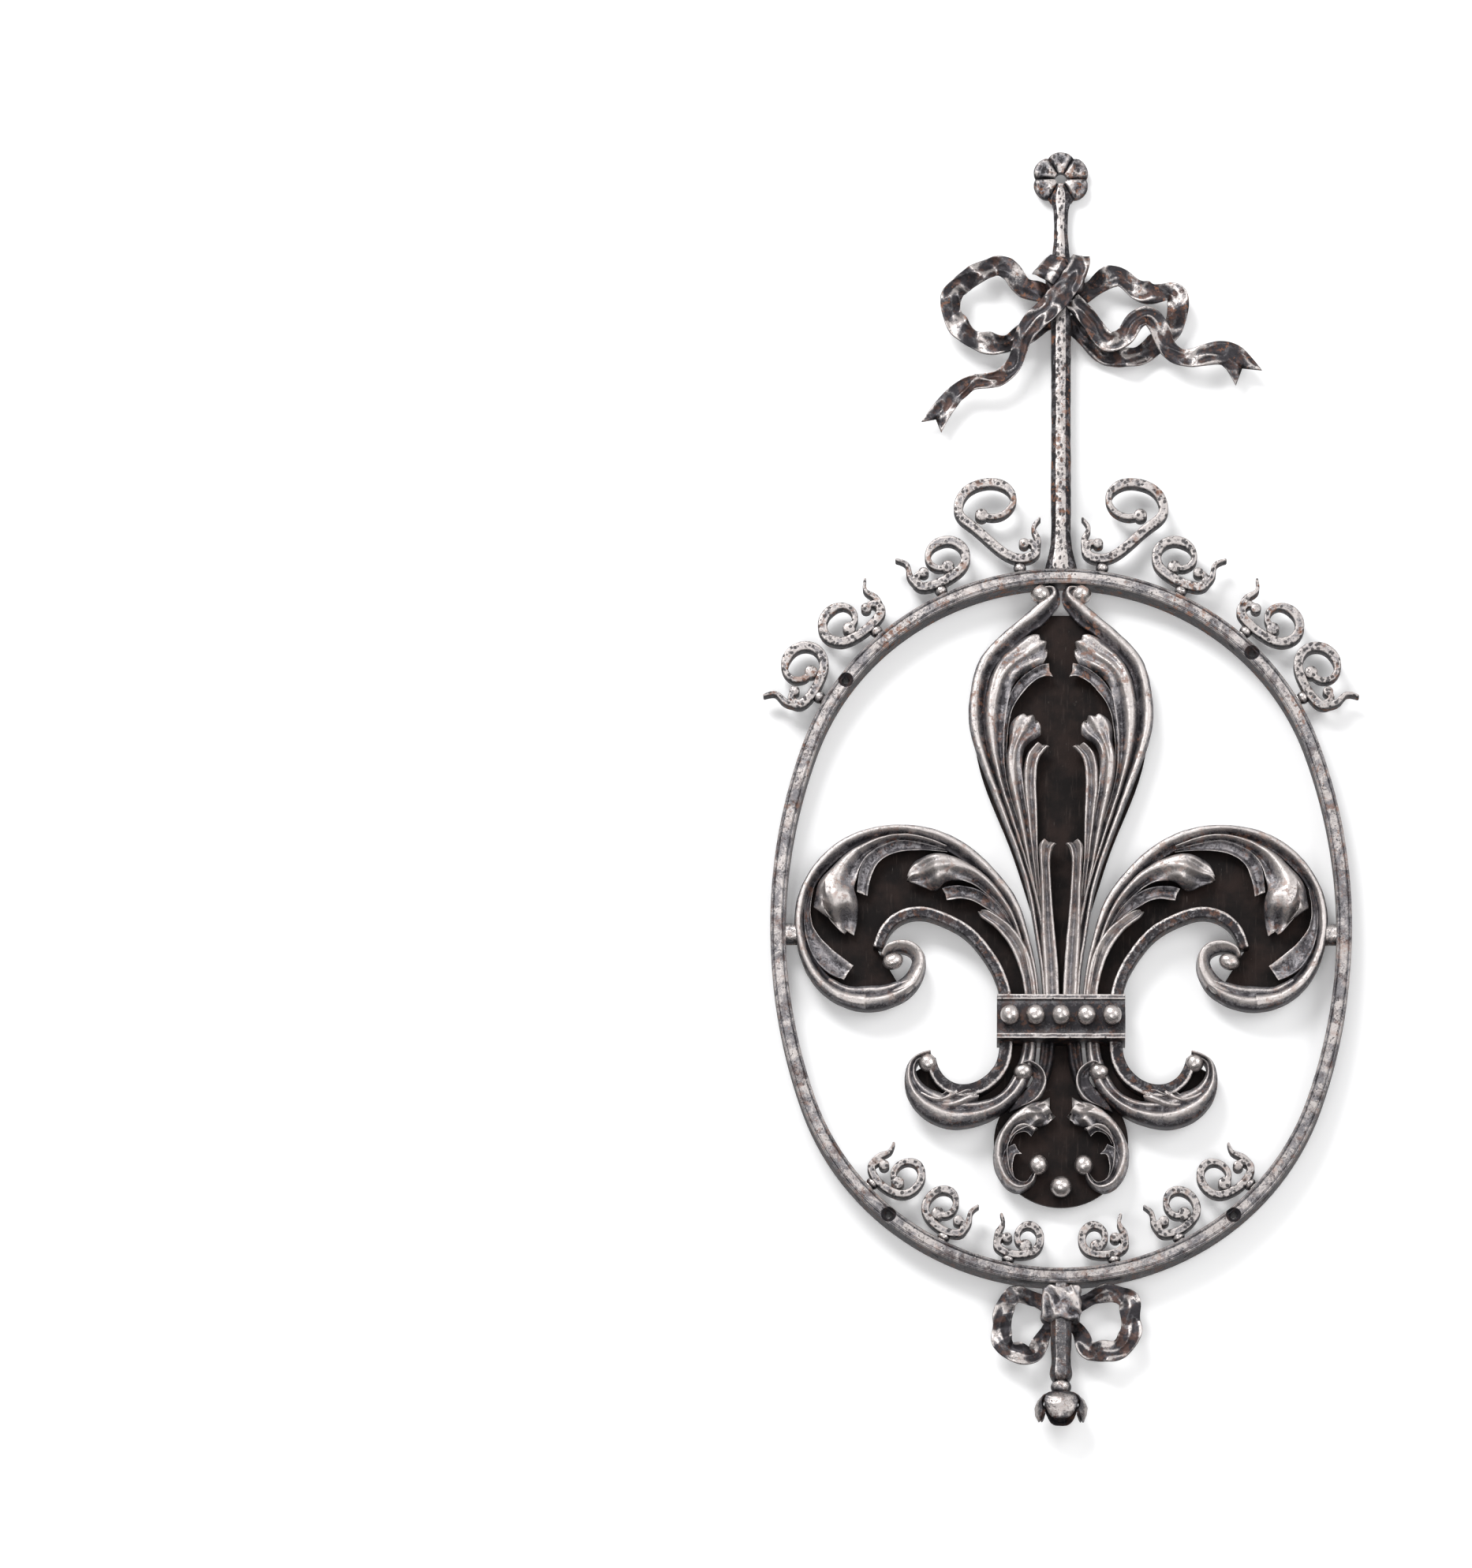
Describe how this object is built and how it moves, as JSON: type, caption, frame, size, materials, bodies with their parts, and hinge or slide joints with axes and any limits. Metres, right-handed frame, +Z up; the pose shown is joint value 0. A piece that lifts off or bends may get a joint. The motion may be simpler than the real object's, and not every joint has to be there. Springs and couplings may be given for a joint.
{
  "type": "iron silhouette trade sign",
  "caption": "Forged iron hanging sign: oval rim round a fleur-de-lis of acanthus leaf strips in a beaded collar, with a hammered stem, rosette, ribbon bows, scroll cresting and a flower drop.",
  "frame": {"origin": "centre of the rosette's hole, on the wall plane at the back", "axes": "+X to the sign's right as seen from the front, +Z up along the stem, -Y out of the wall towards the viewer"},
  "size_m": [0.5486, 0.0457, 1.23],
  "materials": {
    "rim_iron": "planished and polished iron, fine grooves along both edges, dark pitting between them",
    "leaf_iron": "chased iron leaf strips, polished on the crowns and dark in the flutes",
    "bar_iron": "filed and polished bar with dark edges and small pits",
    "hammered_iron": "hammered and polished iron with dark oval pits",
    "ribbon_iron": "crimped iron ribbon, bright on the folds and dark between them",
    "burnished_iron": "burnished iron balls and studs with small rust spots",
    "back_plate_iron": "blackened brown iron sheet, matt"
  },
  "bodies": {
    "root": {"base_scroll_left_1": "bar_iron", "base_scroll_left_2": "bar_iron", "base_scroll_left_3": "bar_iron", "base_scroll_right_1": "bar_iron", "base_scroll_right_2": "bar_iron", "base_scroll_right_3": "bar_iron", "base_studs": "burnished_iron", "bow_knot": "ribbon_iron", "bow_loop_left": "ribbon_iron", "bow_loop_right": "ribbon_iron", "bow_tail_back": "ribbon_iron", "bow_tail_front": "ribbon_iron", "centre_leaf_left": "leaf_iron", "centre_leaf_right": "leaf_iron", "centre_plate": "back_plate_iron", "collar": "hammered_iron", "collar_balls": "burnished_iron", "crest_scroll_left_1": "bar_iron", "crest_scroll_left_2": "bar_iron", "crest_scroll_left_3": "bar_iron", "crest_scroll_left_4": "bar_iron", "crest_scroll_right_1": "bar_iron", "crest_scroll_right_2": "bar_iron", "crest_scroll_right_3": "bar_iron", "crest_scroll_right_4": "bar_iron", "crest_studs": "burnished_iron", "drop_bow_loop_left": "ribbon_iron", "drop_bow_loop_right": "ribbon_iron", "drop_knot": "ribbon_iron", "drop_neck_bead": "burnished_iron", "drop_stem": "hammered_iron", "flower_petals": "ribbon_iron", "foot_ball": "burnished_iron", "foot_curl_balls": "burnished_iron", "foot_curls": "leaf_iron", "foot_leaf_balls": "burnished_iron", "foot_leaf_left": "leaf_iron", "foot_leaf_right": "leaf_iron", "foot_plate": "back_plate_iron", "petal_balls": "burnished_iron", "petal_leaf_left": "leaf_iron", "petal_leaf_right": "leaf_iron", "petal_plate_left": "back_plate_iron", "petal_plate_right": "back_plate_iron", "rim_lower": "rim_iron", "rim_upper_left": "rim_iron", "rim_upper_right": "rim_iron", "side_bar_left": "bar_iron", "side_bar_right": "bar_iron", "side_beads": "burnished_iron", "stem_and_rosette": "hammered_iron", "tail_strips": "leaf_iron", "top_balls": "burnished_iron", "wing_balls": "burnished_iron", "wing_inner_leaf_left": "leaf_iron", "wing_inner_leaf_right": "leaf_iron", "wing_leaf_left": "leaf_iron", "wing_leaf_right": "leaf_iron", "wing_plate_left": "back_plate_iron", "wing_plate_right": "back_plate_iron"}
  },
  "joints": []
}
